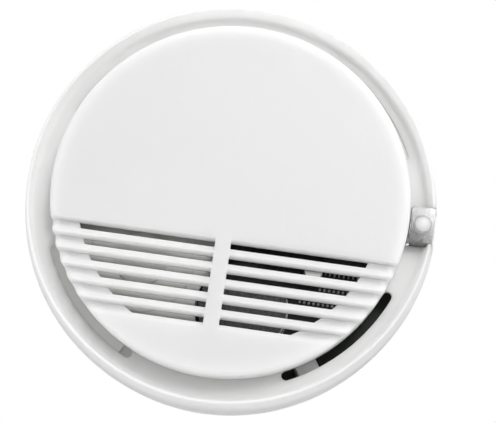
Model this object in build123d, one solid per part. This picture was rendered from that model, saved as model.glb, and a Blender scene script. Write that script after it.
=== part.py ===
from build123d import *
import os
from math import asin, cos, degrees, radians, sin

# A round battery smoke alarm with its twist-on mounting bracket, in millimetres.
# The origin is the centre of the bracket's mounting face. +Z comes out of the front,
# +X points to the test button, and the plain half of the grille disc is towards +Y.

# Front cover
cover_depth = 25.0  # rear edge of the cover to the face of the grille disc
cover_wall = 2.0
disc_wall = 2.2
disc_edge_round = 1.3
moat_depth = 9.3  # from the disc face down to the floor of the ring groove
moat_width = 5.6  # that floor, from the disc wall to its outer corner
lip_height = 5.3  # lip crest above the groove floor
lip_width = 0.9
lip_draft = 0.4  # lean of the lip's inner side
lip_lean = 1.6  # outer side of the lip crest inside the widest circle
bulge_radius = 55.9  # widest circle of the alarm
bulge_drop = 15.0  # below the disc face
rear_edge_step = 0.4  # rear edge inside the widest circle

# Grille in the lower half of the disc
grille_rows = 6
grille_first_row = 13.65  # centre of the first row below the disc centre
grille_pitch = 4.0
grille_slot_height = 1.4
grille_margin = 7.3  # from the disc wall in to the circle that the slot ends follow
grille_bar_width = 4.05
louvre_depth = 1.4  # beds of the wave below the disc face
bed_ledge = 0.15  # flat left on each side of a slot
steep_run = 0.75  # width of a row's steep side
crest_round = 0.35

# Four curved vents in the ring groove, beside the disc wall
vent_width = 2.5
vent_start = 22.0  # degrees from the X axis to the vent's tip
vent_end = 66.0

# Rear housing
floor_thickness = 2.0
flange_height = 4.5  # band that shows behind the cover
flange_step = 0.7  # flange inside the cover's rear edge
rim_height = 4.4  # spigot above the flange, inside the cover
rim_thickness = 1.8
flange_chamfer = 0.6

# Mounting bracket
bracket_step = 1.3  # bracket inside the housing's flange
bracket_plate = 2.2
bracket_depth = 4.2  # to the top of its rim
bracket_rim = 1.6
bracket_band = 9.0  # ring of plate outside the window
bracket_window_edge = -3.0  # the open half-moon lies above this line
mount_slot_spacing = 60.0
mount_slot_width = 4.4
mount_slot_length = 12.0
mount_slot_y = -14.0
bracket_rib_height = 1.2
rib_start = 215.0
rib_end = 325.0
bracket_rib_width = 1.4

# Bayonet between bracket and rear housing
hook_count = 3
hook_start = 109.5  # degrees, first hook at rest
hook_span = 14.0
twist_travel = 12.0
hook_step = 0.5  # hooks outside the window's edge
hook_stem = 1.5
hook_reach = 4.0
hook_lip = 1.6

# Case screws, each in a post of the cover
case_screw_angles = (90.0, 180.0, 270.0)
case_screw_step = 0.5  # screw circle outside the disc wall
case_post_diameter = 6.4
case_pad_diameter = 8.6
case_pad_height = 2.0
screw_head_diameter = 5.4
screw_head_height = 2.0
screw_shank_diameter = 2.9
screw_length = 10.0
screw_recess = 0.2  # head below the back face
driver_recess_depth = 1.1
driver_recess_width = 0.9

# Battery, its bay in the rear housing and its door
battery_length = 46.0
battery_width = 26.5
battery_thickness = 17.5
battery_corner = 2.2
battery_slack = 0.5  # between the battery and each side of its bay
terminal_height = 2.5
terminal_floor = 0.5  # left under the hollow of a socket
terminal_pitch = 12.7
small_terminal_diameter = 5.7
large_terminal_diameter = 8.0
contact_length = 5.1
carrier_thickness = 1.5
bay_wall = 1.6
bay_bottom_y = 4.2  # inner side of the bay wall next to the circuit board
door_thickness = 1.6
door_gap = 0.35
door_rib_height = 1.6
door_rib_width = 1.2
door_rib_spacing = 24.0
door_rib_setback = 2.5  # from the bay's lower edge
hinge_barrel_radius = 1.5
hinge_pin_diameter = 2.0
hinge_pin_length = 1.2
thumb_recess_width = 14.0
thumb_recess_depth = 0.7

# Circuit board
board_thickness = 1.6
board_post_height = 7.5
board_step = 2.6  # board's round edge inside its ear
board_ear_gap = 0.7  # ear to the cover's wall
board_ear_width = 12.0
board_horn_gap = 0.5  # board's left edge to the horn
board_gap = 0.6  # to the battery bay
board_post_diameter = 6.0
board_screw_places = ((-2.5, -6.5), (41.0, -1.6), (27.0, -31.5))
board_screw_head = 4.6
board_screw_head_height = 1.6
board_screw_shank = 2.2
board_screw_length = 6.0
pillar_angle = -57.2
pillar_step = 0.6  # centre of the board's locating pillar outside the disc wall
pillar_width = 5.8
pillar_depth = 4.0
pillar_top_gap = 0.7  # below the underside of the cover's groove

# Clear test button over the status lamp
button_width = 9.5
button_step = 0.6  # button's inner side outside the disc wall
button_gap = 0.25
button_drop = 0.4  # top of the block below the lip crest
button_flange = 1.5
button_flange_overlap = 1.55
button_flange_reach = 2.4  # inwards from the block, under the disc wall
button_travel = 1.0
dome_diameter = 4.9
dome_rise = 1.1
lamp_step = 3.2  # lamp's axis from the button's inner side
lamp_diameter = 3.0
lamp_flange_diameter = 3.9
lamp_flange_height = 1.0
lamp_length = 5.3
lamp_top_gap = 1.6  # lamp to the roof of the button's cavity
lamp_lead_pitch = 2.54
lamp_lead_diameter = 0.5
lamp_clearance = 0.2
button_leg_width = 4.0
button_leg_thickness = 1.6
button_crown = 0.9  # clear plastic left above the lamp cavity

# Test contact, a leaf of spring metal over a stud
leaf_thickness = 0.25
leaf_width = 2.6
leaf_foot_length = 3.0
leaf_arm_length = 9.0
leaf_tip = 1.0  # arm past the button's leg
leaf_rise = 2.05  # board to the underside of the arm
stud_diameter = 1.8
stud_gap = 0.8

# Smoke chamber
chamber_x = 7.3
chamber_y = -28.5
chamber_radius = 12.0
chamber_base_thickness = 1.8
chamber_height = 9.8  # clear height between base and cover
chamber_lid = 1.4
screen_thickness = 0.3
screen_columns = 18
screen_rows = 4
screen_bar = 0.6
vane_count = 16
vane_thickness = 0.6
vane_setback = 1.0  # vanes inside the edge of the lid
vane_inner_radius = 8.7
vane_sweep = 13.0  # degrees between the bend of a vane and its two ends
optic_block_width = 4.6
optic_block_start = 3.0  # from the chamber centre
optic_block_end = 7.4
optic_axis_height = 4.6  # above the chamber base
optic_cap = 2.6  # block above that axis
optic_diameter = 3.0
optic_length = 3.8
optic_lead = 0.5
optic_lead_pitch = 1.6
emitter_angle = 330.0
receiver_angle = 210.0

# Horn
horn_x = -21.0
horn_y = -19.0
horn_radius = 14.5
horn_wall = 1.6
horn_height = 20.0
horn_base_thickness = 1.5
horn_port_diameter = 4.6
horn_port_inset = 1.0  # port to the sounding plate's edge, towards the plain half
horn_step_radius = 7.0
horn_step_height = 0.8
node_ring_thickness = 1.2
node_ring_radius = 9.0
node_ring_height = 3.7
deck_thickness = 1.4
deck_drop = 1.3  # deck below the underside of the cover's groove
deck_step = 1.8  # deck's round edge inside the board's ear
deck_chamber_gap = 0.5
deck_side = 26.5  # length of its edge beside the chamber
deck_slant = 32.0  # degrees of its lower edge from the X axis
piezo_plate_thickness = 0.3
piezo_ceramic_radius = 8.6
piezo_ceramic_thickness = 0.25

# Parts on the board
chip_x = 32.4
chip_y = -9.3
chip_length = 10.3
chip_width = 7.5
chip_height = 2.3
chip_pins_per_side = 8
chip_pin_pitch = 1.27
chip_pin_reach = 1.4
chip_pin_width = 0.45
capacitors = ((24.5, -15.3, 5.0, 8.0), (8.5, -5.6, 8.0, 11.0))  # x, y, diameter, height
coil_x = 17.8
coil_y = -5.4
coil_diameter = 7.8
coil_height = 9.0
coil_flange = 1.0
coil_core_diameter = 5.6
resistor_x = 12.0
resistor_insets = (6.8, 3.8)  # from the board's lower edge
resistor_diameter = 2.2
resistor_length = 6.2
resistor_lead = 0.6
resistor_lead_span = 10.2
wire_diameter = 1.1
wire_bend = 2.0
wire_clearance = 0.15
battery_lead_rows = (5.8, 8.8)  # where the leads leave the bay, above its lower side
battery_lead_reach = (6.8, 4.3)  # from the bay's end to where they come down on the board
battery_lead_z = 19.0
battery_lead_end_y = -1.0
horn_lead_rows = (5.0, 2.0)  # above the horn's centre
horn_lead_insets = (3.4, 2.1)  # ends inside the rim of the metal plate and of the ceramic
horn_lead_reach = 3.3  # from the horn to where they come down on the board
horn_lead_z = 18.6

# Clearances
running_gap = 0.3  # between parts that pass each other, and loose seats
pin_clearance = 0.05  # radial, of a pin in its hole
screw_clearance = 0.05

# Overlaps while shapes are joined and cut
bite = 0.5  # how far a form runs into the one that it joins
through = 1.0  # how far a cut runs past the wall that it opens

# Radii worked out inwards from the widest circle
rear_edge_radius = bulge_radius - rear_edge_step
lip_outer_radius = bulge_radius - lip_lean
lip_inner_radius = lip_outer_radius - lip_width
moat_radius = lip_inner_radius - lip_draft
disc_radius = moat_radius - moat_width
grille_radius = disc_radius - grille_margin
flange_radius = rear_edge_radius - flange_step
bracket_radius = flange_radius - bracket_step
bracket_window_radius = bracket_radius - bracket_band
hook_inner_radius = bracket_window_radius + hook_step
case_screw_radius = disc_radius + case_screw_step
pillar_radius = disc_radius + pillar_step
board_ear_radius = rear_edge_radius - cover_wall - board_ear_gap
board_radius = board_ear_radius - board_step
button_inner_x = disc_radius + button_step
lamp_x = button_inner_x + lamp_step
horn_deck_radius = board_ear_radius - deck_step
vane_outer_radius = chamber_radius - vane_setback
piezo_plate_radius = horn_radius - horn_wall

# Heights worked out from the sizes above
back_z = bracket_depth + running_gap
floor_z = back_z + floor_thickness
cover_rear_z = back_z + flange_height
face_z = cover_rear_z + cover_depth
moat_z = face_z - moat_depth
moat_under_z = moat_z - cover_wall
crest_z = moat_z + lip_height
bulge_z = face_z - bulge_drop
board_z = floor_z + board_post_height
board_top_z = board_z + board_thickness
hinge_z = back_z + hinge_barrel_radius
battery_z = back_z + 2 * hinge_barrel_radius + battery_slack
bay_ceiling_z = battery_z + battery_thickness + battery_slack
pad_z = floor_z + case_pad_height
screw_seat_z = back_z + screw_recess + screw_head_height
button_top_z = crest_z - button_drop
button_flange_z = moat_under_z - running_gap - button_flange
leaf_z = board_top_z + leaf_rise
button_leg_end_z = leaf_z + leaf_thickness + running_gap
cavity_roof_z = button_top_z - button_crown
lamp_z = cavity_roof_z - lamp_top_gap - lamp_length
chamber_floor_z = board_top_z + chamber_base_thickness
chamber_lid_z = chamber_floor_z + chamber_height
optic_z = chamber_floor_z + optic_axis_height
horn_base_z = floor_z + horn_base_thickness
horn_top_z = floor_z + horn_height
deck_z = moat_under_z - deck_drop - deck_thickness
piezo_z = horn_base_z + node_ring_height
ceramic_z = piezo_z + piezo_plate_thickness

# Plan positions worked out from the sizes above
bay_width = battery_width + 2 * battery_slack
bay_top_y = bay_bottom_y + bay_width
bay_middle_y = bay_bottom_y + bay_width / 2
bay_length = battery_slack + battery_length + running_gap + contact_length + carrier_thickness
bed_half = grille_slot_height / 2 + bed_ledge
gentle_run = grille_pitch - 2 * bed_half - steep_run
bay_half = bay_length / 2
battery_end_x = -bay_half + battery_slack + battery_length
hinge_y = bay_top_y - hinge_barrel_radius - door_gap / 2
board_top_y = bay_bottom_y - bay_wall - board_gap
board_left_edge = horn_x + horn_radius + board_horn_gap
button_half = button_width / 2
deck_right_x = chamber_x - chamber_radius - deck_chamber_gap


def box(x, y, z):
    """A block between pairs of low and high values."""
    centre = ((x[0] + x[1]) / 2, (y[0] + y[1]) / 2, (z[0] + z[1]) / 2)
    return Pos(*centre) * Box(x[1] - x[0], y[1] - y[0], z[1] - z[0])


def disc(radius, low, high, place=(0, 0)):
    """A cylinder that stands on a height."""
    middle = (low + high) / 2
    return Pos(place[0], place[1], middle) * Cylinder(radius, high - low)


def ring(inner, outer, low, high, place=(0, 0)):
    return disc(outer, low, high, place) - disc(inner, low - through, high + through, place)


def polar(radius, angle):
    return radius * cos(radians(angle)), radius * sin(radians(angle))


def sector(inner, outer, start, end, low, high):
    """A curved block between two radii and two angles, at most half a turn long."""
    outline = [
        CenterArc((0, 0), outer, start, end - start),
        Line(polar(outer, end), polar(inner, end)),
        CenterArc((0, 0), inner, start, end - start),
        Line(polar(inner, start), polar(outer, start)),
    ]
    return Pos(0, 0, low) * extrude(make_face(outline), high - low)


def turned(points, rounds=()):
    """A solid turned about Z from (radius, height) points. Rounds pair a point number with a radius."""
    outline = make_face(Polyline(*points, close=True))
    for number, radius in rounds:
        target = Vector(*points[number])
        corner = outline.vertices().sort_by_distance(target)[0]
        outline = fillet(corner, radius)
    return revolve(Plane.XZ * outline, Axis.Z)


def along_x(radius, low, high, y, z):
    """A cylinder along X."""
    return Pos((low + high) / 2, y, z) * Rot(0, 90, 0) * Cylinder(radius, high - low)


def copies_round(shape, angles):
    return [Rot(0, 0, angle) * shape for angle in angles]


def outer_radius(height):
    """Radius of the cover's outer wall at a height above the bulge."""
    share = (height - bulge_z) / (crest_z - bulge_z)
    return bulge_radius + share * (lip_outer_radius - bulge_radius)


def cover_outside():
    """The cover's outer form as one solid, without its openings."""
    points = [
        (0, cover_rear_z),
        (rear_edge_radius, cover_rear_z),
        (bulge_radius, bulge_z),
        (lip_outer_radius, crest_z),
        (lip_inner_radius, crest_z),
        (moat_radius, moat_z),
        (disc_radius, moat_z),
        (disc_radius, face_z),
        (0, face_z),
    ]
    lip_round = 0.4 * (lip_outer_radius - lip_inner_radius)
    rounds = [
        (2, 4 * cover_wall),
        (3, lip_round),
        (4, lip_round),
        (5, cover_wall / 2),
        (7, disc_edge_round),
    ]
    return turned(points, rounds)


def cover_hollow():
    inner_disc = disc_radius - cover_wall
    points = [
        (0, cover_rear_z - through),
        (rear_edge_radius - cover_wall, cover_rear_z - through),
        (rear_edge_radius - cover_wall, cover_rear_z),
        (bulge_radius - cover_wall, bulge_z),
        (outer_radius(moat_under_z) - cover_wall, moat_under_z),
        (inner_disc, moat_under_z),
        (inner_disc, face_z - disc_wall),
        (0, face_z - disc_wall),
    ]
    return turned(points, [(6, disc_edge_round)])


def louvre_section():
    """The wave above the louvres: in each row a steep side, a narrow bed for its slot, a gentle side."""
    bed = face_z - louvre_depth
    above = face_z + louvre_depth
    points = [(-grille_first_row + bed_half + 2 * steep_run, above)]
    for row in range(grille_rows):
        row_y = -grille_first_row - row * grille_pitch
        crest_y = row_y - bed_half - gentle_run
        points += [(row_y + bed_half, bed), (row_y - bed_half, bed), (crest_y, face_z)]
    points[-1] = (crest_y - gentle_run, above)
    wave = make_face(Polyline(points, close=True))
    crests = wave.vertices().filter_by_position(Axis.Y, bed + bed_ledge, above - bed_ledge)
    return fillet(crests, crest_round)


def louvre_cut():
    """The louvre wave carried from the middle bar out across the right edge of the disc."""
    return extrude(Plane.YZ.offset(grille_bar_width / 2) * louvre_section(), disc_radius)


def grille_slots():
    """Slots along the beds of the wave, their outer ends cut to one circle."""
    strips = [
        Pos(0, -grille_first_row - row * grille_pitch) * Rectangle(2 * disc_radius, grille_slot_height)
        for row in range(grille_rows)
    ]
    bar = Rectangle(grille_bar_width, 2 * disc_radius)
    openings = (Sketch(strips) & Circle(grille_radius)) - bar
    return Pos(0, 0, face_z - disc_wall - through) * extrude(openings, disc_wall + 2 * through)


def vent_cuts():
    middle = disc_radius + vent_width / 2
    tip = degrees(asin(vent_width / 2 / middle))
    span = vent_end - vent_start - 2 * tip
    arc = CenterArc((0, 0), middle, vent_start + tip, span)
    one = Pos(0, 0, moat_under_z - bite) * extrude(SlotArc(arc, vent_width), cover_wall + 2 * bite)
    upper = [one, mirror(one, Plane.YZ)]
    return upper + [mirror(vent, Plane.XZ) for vent in upper]


def front_cover():
    cover = cover_outside() - cover_hollow()
    post = disc(case_post_diameter / 2, pad_z, moat_under_z + bite, (case_screw_radius, 0))
    cover += copies_round(post, case_screw_angles)
    pilot_radius = screw_shank_diameter / 2 + screw_clearance
    pilot = disc(pilot_radius, pad_z - through, pad_z + screw_length, (case_screw_radius, 0))
    cover -= copies_round(pilot, case_screw_angles)
    louvres = louvre_cut()
    cover -= louvres
    cover -= mirror(louvres, Plane.YZ)
    cover -= grille_slots()
    cover -= vent_cuts()
    notch_half = button_half + button_gap
    notch_floor = button_flange_z - button_travel - running_gap
    notch_x = (button_inner_x - button_gap, bulge_radius + through)
    return cover - box(notch_x, (-notch_half, notch_half), (notch_floor, face_z))


def bay_block(wall, low, high):
    """A block of the battery bay's plan, grown by a wall."""
    across = (-bay_half - wall, bay_half + wall)
    return box(across, (bay_bottom_y - wall, bay_top_y + wall), (low, high))


def hook_angles():
    return [360 / hook_count * number for number in range(hook_count)]


def bayonet_cuts():
    """Entry windows for the hooks, each followed by a narrow track for the stem."""
    margin = degrees(running_gap / hook_inner_radius)
    inner = hook_inner_radius - running_gap
    first = hook_start - twist_travel - margin
    entry_end = hook_start + hook_span - twist_travel + margin
    last = hook_start + hook_span + margin
    low, high = back_z - through, floor_z + through
    entry_outer = hook_inner_radius + hook_reach + running_gap
    entry = sector(inner, entry_outer, first, entry_end, low, high)
    track_outer = hook_inner_radius + hook_stem + running_gap
    track = sector(inner, track_outer, entry_end - margin, last, low, high)
    return copies_round(entry + track, hook_angles())


def pillar_block(grow):
    """The board's locating pillar, or the notch that clears it."""
    half_depth, half_width = pillar_depth / 2 + grow, pillar_width / 2 + grow
    upright = box(
        (pillar_radius - half_depth, pillar_radius + half_depth),
        (-half_width, half_width),
        (floor_z - floor_thickness / 2, moat_under_z - pillar_top_gap),
    )
    return Rot(0, 0, pillar_angle) * upright


def rear_housing():
    rim_radius = rear_edge_radius - cover_wall - running_gap
    rim_top = cover_rear_z + rim_height
    points = [
        (0, back_z),
        (flange_radius - flange_chamfer, back_z),
        (flange_radius, back_z + flange_chamfer),
        (flange_radius, cover_rear_z),
        (rim_radius, cover_rear_z),
        (rim_radius, rim_top),
        (rim_radius - rim_thickness, rim_top),
        (rim_radius - rim_thickness, floor_z),
        (0, floor_z),
    ]
    housing = turned(points, [(7, rim_thickness / 2)])
    housing += bay_block(bay_wall, back_z, bay_ceiling_z + bay_wall)
    housing -= bay_block(0, back_z - through, bay_ceiling_z)
    pad = disc(case_pad_diameter / 2, floor_z - bite, pad_z, (case_screw_radius, 0))
    housing += copies_round(pad, case_screw_angles)
    for place in board_screw_places:
        housing += disc(board_post_diameter / 2, floor_z - bite, board_z, place)
        pilot_radius = board_screw_shank / 2 + screw_clearance
        housing -= disc(pilot_radius, floor_z, board_z + through, place)
    housing += pillar_block(0)
    housing -= bayonet_cuts()
    recess_radius = screw_head_diameter / 2 + running_gap
    recess = disc(recess_radius, back_z - through, screw_seat_z, (case_screw_radius, 0))
    passage_radius = screw_shank_diameter / 2 + screw_clearance
    passage = disc(passage_radius, back_z, pad_z + through, (case_screw_radius, 0))
    housing -= copies_round(recess + passage, case_screw_angles)
    hole_radius = hinge_pin_diameter / 2 + pin_clearance
    hole_end = bay_half + hinge_pin_length + running_gap
    housing -= along_x(hole_radius, -hole_end, hole_end, hinge_y, hinge_z)
    lead_hole = wire_diameter / 2 + wire_clearance
    wall_start, wall_end = bay_half - through, bay_half + bay_wall + through
    for row in battery_lead_rows:
        housing -= along_x(lead_hole, wall_start, wall_end, bay_bottom_y + row, battery_lead_z)
    return housing


def case_screws():
    """Three screws, heads at the back, each with a cross recess."""
    head = disc(screw_head_diameter / 2, back_z + screw_recess, screw_seat_z)
    head = fillet(head.edges().sort_by(Axis.Z)[0], screw_head_height / 4)
    shank = disc(screw_shank_diameter / 2, screw_seat_z, pad_z + screw_length - running_gap)
    slot_z = (back_z, back_z + screw_recess + driver_recess_depth)
    half_slot, half_width = screw_head_diameter / 3, driver_recess_width / 2
    recess = box((-half_slot, half_slot), (-half_width, half_width), slot_z)
    recess += box((-half_width, half_width), (-half_slot, half_slot), slot_z)
    screw = Pos(case_screw_radius, 0, 0) * (head + shank - recess)
    return Compound(copies_round(screw, case_screw_angles))


def mounting_bracket():
    bracket = ring(bracket_window_radius, bracket_radius, 0, bracket_plate)
    bracket += ring(bracket_radius - bracket_rim, bracket_radius, 0, bracket_depth)
    across = (-bracket_radius, bracket_radius)
    low_half = box(across, (-bracket_radius, bracket_window_edge), (0, bracket_plate))
    bracket += disc(bracket_window_radius + bite, 0, bracket_plate) & low_half
    rib_middle = bracket_window_radius - hook_reach - bracket_rib_width
    rib_top = bracket_plate + bracket_rib_height
    for inner in (rib_middle, rib_middle / 2):
        outer = inner + bracket_rib_width
        bracket += sector(inner, outer, rib_start, rib_end, bracket_plate / 2, rib_top)
    hook_top = floor_z + running_gap + hook_lip
    hook_end = hook_start + hook_span
    stem_outer = hook_inner_radius + hook_stem
    hook = sector(hook_inner_radius, stem_outer, hook_start, hook_end, bracket_plate / 2, hook_top)
    lip_outer = hook_inner_radius + hook_reach
    hook += sector(hook_inner_radius, lip_outer, hook_start, hook_end, floor_z + running_gap, hook_top)
    bracket += copies_round(hook, hook_angles())
    slot = extrude(SlotOverall(mount_slot_length, mount_slot_width), bracket_plate + 2 * through)
    for side in (-1, 1):
        bracket -= Pos(side * mount_slot_spacing / 2, mount_slot_y, -through) * slot
    return bracket


def battery():
    body = box(
        (-bay_half + battery_slack, battery_end_x),
        (bay_middle_y - battery_width / 2, bay_middle_y + battery_width / 2),
        (battery_z, battery_z + battery_thickness),
    )
    return fillet(body.edges().filter_by(Axis.X), battery_corner)


def terminal_places():
    middle_z = battery_z + battery_thickness / 2
    return (bay_middle_y + terminal_pitch / 2, middle_z), (bay_middle_y - terminal_pitch / 2, middle_z)


def battery_terminals():
    """The small round stud and the larger socket on the battery's end."""
    small, large = terminal_places()
    tip = battery_end_x + terminal_height
    stud = along_x(small_terminal_diameter / 2, battery_end_x, tip, *small)
    socket = along_x(large_terminal_diameter / 2, battery_end_x, tip, *large)
    hollow_radius = small_terminal_diameter / 2 + wire_clearance
    hollow = along_x(hollow_radius, battery_end_x + terminal_floor, tip + through, *large)
    return Compound([stud, socket - hollow])


def battery_contacts():
    """The mating socket and stud, which reach from the carrier to the battery."""
    small, large = terminal_places()
    reach = (battery_end_x + running_gap, bay_half - carrier_thickness)
    socket = along_x(large_terminal_diameter / 2, *reach, *small)
    hollow_radius = small_terminal_diameter / 2 + wire_clearance
    socket -= along_x(hollow_radius, reach[0] - through, reach[1] - terminal_floor, *small)
    stud_radius = small_terminal_diameter / 2 - wire_clearance
    stud = along_x(stud_radius, reach[0] + terminal_floor, reach[1], *large)
    return Compound([socket, stud])


def contact_carrier():
    half = battery_width / 2 - battery_slack
    carrier = box(
        (bay_half - carrier_thickness, bay_half),
        (bay_middle_y - half, bay_middle_y + half),
        (battery_z, battery_z + battery_thickness),
    )
    return fillet(carrier.edges().filter_by(Axis.X), battery_corner / 2)


def battery_door():
    """The door swings down about two pins that snap into the bay's side walls."""
    half = bay_half - door_gap
    plate_top = back_z + door_thickness
    plate = box((-half, half), (bay_bottom_y + door_gap, hinge_y), (back_z, plate_top))
    plate += along_x(hinge_barrel_radius, -half, half, hinge_y, hinge_z)
    rib_y = (bay_bottom_y + door_rib_setback, hinge_y - 2 * hinge_barrel_radius)
    rib_top = plate_top + door_rib_height
    for side in (-1, 1):
        middle = side * door_rib_spacing / 2
        rib_x = (middle - door_rib_width / 2, middle + door_rib_width / 2)
        plate += box(rib_x, rib_y, (plate_top - door_thickness / 2, rib_top))
    pin_end = bay_half + hinge_pin_length
    plate += along_x(hinge_pin_diameter / 2, -pin_end, pin_end, hinge_y, hinge_z)
    scoop = Pos(0, bay_bottom_y, back_z - thumb_recess_width + thumb_recess_depth)
    return plate - scoop * Sphere(thumb_recess_width)


def circuit_board():
    size = 2 * board_radius
    quarter = Rectangle(size, size, align=(Align.MIN, Align.MAX))
    outline = Circle(board_radius) & Pos(board_left_edge, board_top_y) * quarter
    ear = Pos(board_ear_radius, 0) * Rectangle(board_ear_width * 2, board_ear_width)
    outline += Circle(board_ear_radius) & ear
    board = Pos(0, 0, board_z) * extrude(outline, board_thickness)
    low, high = board_z - through, board_top_z + through
    post_room = disc(case_post_diameter / 2 + board_gap, low, high, (case_screw_radius, 0))
    board -= copies_round(post_room, case_screw_angles)
    board -= pillar_block(running_gap)
    for place in board_screw_places:
        hole_radius = board_screw_shank / 2 + wire_clearance
        board -= disc(hole_radius, low, high, place)
    return board


def board_screws():
    screws = []
    for place in board_screw_places:
        head_top = board_top_z + board_screw_head_height
        head = disc(board_screw_head / 2, board_top_z, head_top, place)
        head = fillet(head.edges().sort_by(Axis.Z)[-1], board_screw_head_height / 3)
        slot = Box(0.7 * board_screw_head, driver_recess_width, board_screw_head_height)
        head -= Pos(place[0], place[1], head_top) * slot
        shank = disc(board_screw_shank / 2, board_z - board_screw_length, board_top_z, place)
        screws.append(head + shank)
    return Compound(screws)


def test_button():
    """A clear block that fills the groove, with a dome over the lamp and a leg for the contact."""
    high_x = bulge_radius + through
    outline = box(
        (button_inner_x, high_x),
        (-button_half, button_half),
        (button_flange_z, button_top_z),
    )
    groove_filling = disc(lip_inner_radius + bite, moat_z - through, button_top_z)
    block = (cover_outside() + groove_filling) & outline
    flange_half = button_half + button_flange_overlap
    flange_top = button_flange_z + button_flange
    flange_x = (button_inner_x - button_flange_reach, high_x)
    flange = box(flange_x, (-flange_half, flange_half), (button_flange_z, flange_top))
    inside = outer_radius(moat_under_z) - cover_wall - running_gap
    block += flange & disc(inside, button_flange_z - through, flange_top + through)
    leg_x = (flange_x[0] + button_gap, flange_x[0] + button_gap + button_leg_thickness)
    leg_z = (button_leg_end_z, button_flange_z + button_flange / 2)
    block += box(leg_x, (-button_leg_width / 2, button_leg_width / 2), leg_z)
    dome_radius = dome_diameter / 2
    dome_points = [(0, -bite), (dome_radius, -bite), (dome_radius, dome_rise), (0, dome_rise)]
    block += Pos(lamp_x, 0, button_top_z) * turned(dome_points, [(2, 0.9 * dome_rise)])
    cavity_radius = lamp_flange_diameter / 2 + lamp_clearance
    cavity_z = (button_flange_z - through, cavity_roof_z)
    return block - disc(cavity_radius, *cavity_z, (lamp_x, 0))


def status_lamp():
    """A round-topped lamp with a flange and two leads down to the board."""
    radius = lamp_diameter / 2
    lamp = disc(radius, lamp_z, lamp_z + lamp_length - radius)
    lamp += disc(lamp_flange_diameter / 2, lamp_z, lamp_z + lamp_flange_height)
    lamp += Pos(0, 0, lamp_z + lamp_length - radius) * Sphere(radius)
    for side in (-1, 1):
        lamp += disc(lamp_lead_diameter / 2, board_top_z, lamp_z + bite, (0, side * lamp_lead_pitch / 2))
    return Pos(lamp_x, 0, 0) * lamp


def lamp_spacer():
    spacer = disc(lamp_flange_diameter / 2, board_top_z, lamp_z)
    hole = disc(lamp_lead_diameter / 2 + pin_clearance, board_top_z - through, lamp_z + through)
    for side in (-1, 1):
        spacer -= Pos(0, side * lamp_lead_pitch / 2, 0) * hole
    return Pos(lamp_x, 0, 0) * spacer


def leaf_middle_x():
    return button_inner_x - button_flange_reach + button_gap + button_leg_thickness / 2


def test_contact():
    """A foot on the board, a riser and an arm that passes under the button's leg."""
    half = leaf_width / 2
    middle = leaf_middle_x()
    across = (middle - half, middle + half)
    riser_y = button_leg_width / 2 + leaf_tip - leaf_arm_length
    foot_y = (riser_y - leaf_foot_length, riser_y)
    foot = box(across, foot_y, (board_top_z, board_top_z + leaf_thickness))
    leaf_top = leaf_z + leaf_thickness
    riser = box(across, (riser_y - leaf_thickness, riser_y), (board_top_z, leaf_top))
    arm = box(across, (riser_y - leaf_thickness, riser_y + leaf_arm_length), (leaf_z, leaf_top))
    return foot + riser + arm


def contact_stud():
    place = (leaf_middle_x(), button_leg_width / 2)
    return disc(stud_diameter / 2, board_top_z, leaf_z - stud_gap, place)


def at_chamber(shape):
    return Pos(chamber_x, chamber_y, 0) * shape


def optic_bore(clearance):
    """The bore of an optic block, along X from the chamber centre."""
    ends = (optic_block_start - through, optic_block_end + through)
    return along_x(optic_diameter / 2 + clearance, *ends, 0, optic_z)


def chamber_base():
    base = disc(chamber_radius, board_top_z, chamber_floor_z)
    half = optic_block_width / 2
    block_z = (chamber_floor_z - bite, optic_z + optic_cap)
    block = box((optic_block_start, optic_block_end), (-half, half), block_z)
    block -= optic_bore(pin_clearance)
    return at_chamber(base + copies_round(block, (emitter_angle, receiver_angle)))


def optic_part(angle):
    """A small round-nosed optical part lying in its block, with two leads down to the base."""
    radius = optic_diameter / 2
    back = optic_block_end
    part = along_x(radius, back - optic_length + radius, back, 0, optic_z)
    part += Pos(back - optic_length + radius, 0, optic_z) * Sphere(radius)
    for side in (-1, 1):
        middle = side * optic_lead_pitch / 2
        lead_y = (middle - optic_lead / 2, middle + optic_lead / 2)
        lead_top = optic_z + optic_lead / 2
        part += box((back - optic_lead, back + optic_lead), lead_y, (lead_top - optic_lead, lead_top))
        part += box((back, back + optic_lead), lead_y, (chamber_floor_z, lead_top))
    return at_chamber(Rot(0, 0, angle) * part)


def chamber_cover():
    """The lid with its ring of bent vanes, which pass smoke and stop light."""
    cover = disc(chamber_radius, chamber_lid_z, chamber_lid_z + chamber_lid)
    bend_radius = (vane_outer_radius + vane_inner_radius) / 2
    bend = polar(bend_radius, vane_sweep)
    points = [(vane_outer_radius, 0), bend, (vane_inner_radius, 0)]
    vane_foot = chamber_floor_z + running_gap
    vane_height = chamber_lid_z + bite - vane_foot
    vane = Pos(0, 0, vane_foot) * extrude(trace(Polyline(*points), vane_thickness), vane_height)
    cover += copies_round(vane, [360 / vane_count * number for number in range(vane_count)])
    return at_chamber(cover)


def insect_screen():
    outer = vane_outer_radius + vane_thickness + screen_thickness
    sleeve = ring(outer - screen_thickness, outer, chamber_floor_z, chamber_lid_z)
    window_height = (chamber_height - screen_bar) / screen_rows - screen_bar
    window_width = 2 * outer * sin(radians(180 / screen_columns)) - screen_bar
    window_x = (outer - through, outer + through)
    window_y = (-window_width / 2, window_width / 2)
    column = []
    for row in range(screen_rows):
        low = chamber_floor_z + screen_bar + row * (window_height + screen_bar)
        column.append(box(window_x, window_y, (low, low + window_height)))
    for number in range(screen_columns):
        sleeve -= [Rot(0, 0, 360 / screen_columns * number) * window for window in column]
    return at_chamber(sleeve)


def at_horn(shape):
    return Pos(horn_x, horn_y, 0) * shape


def horn_base():
    base = disc(horn_radius, floor_z, horn_base_z)
    inner = node_ring_radius - node_ring_thickness
    base += ring(inner, node_ring_radius, horn_base_z - bite, piezo_z)
    return at_horn(base)


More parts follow.
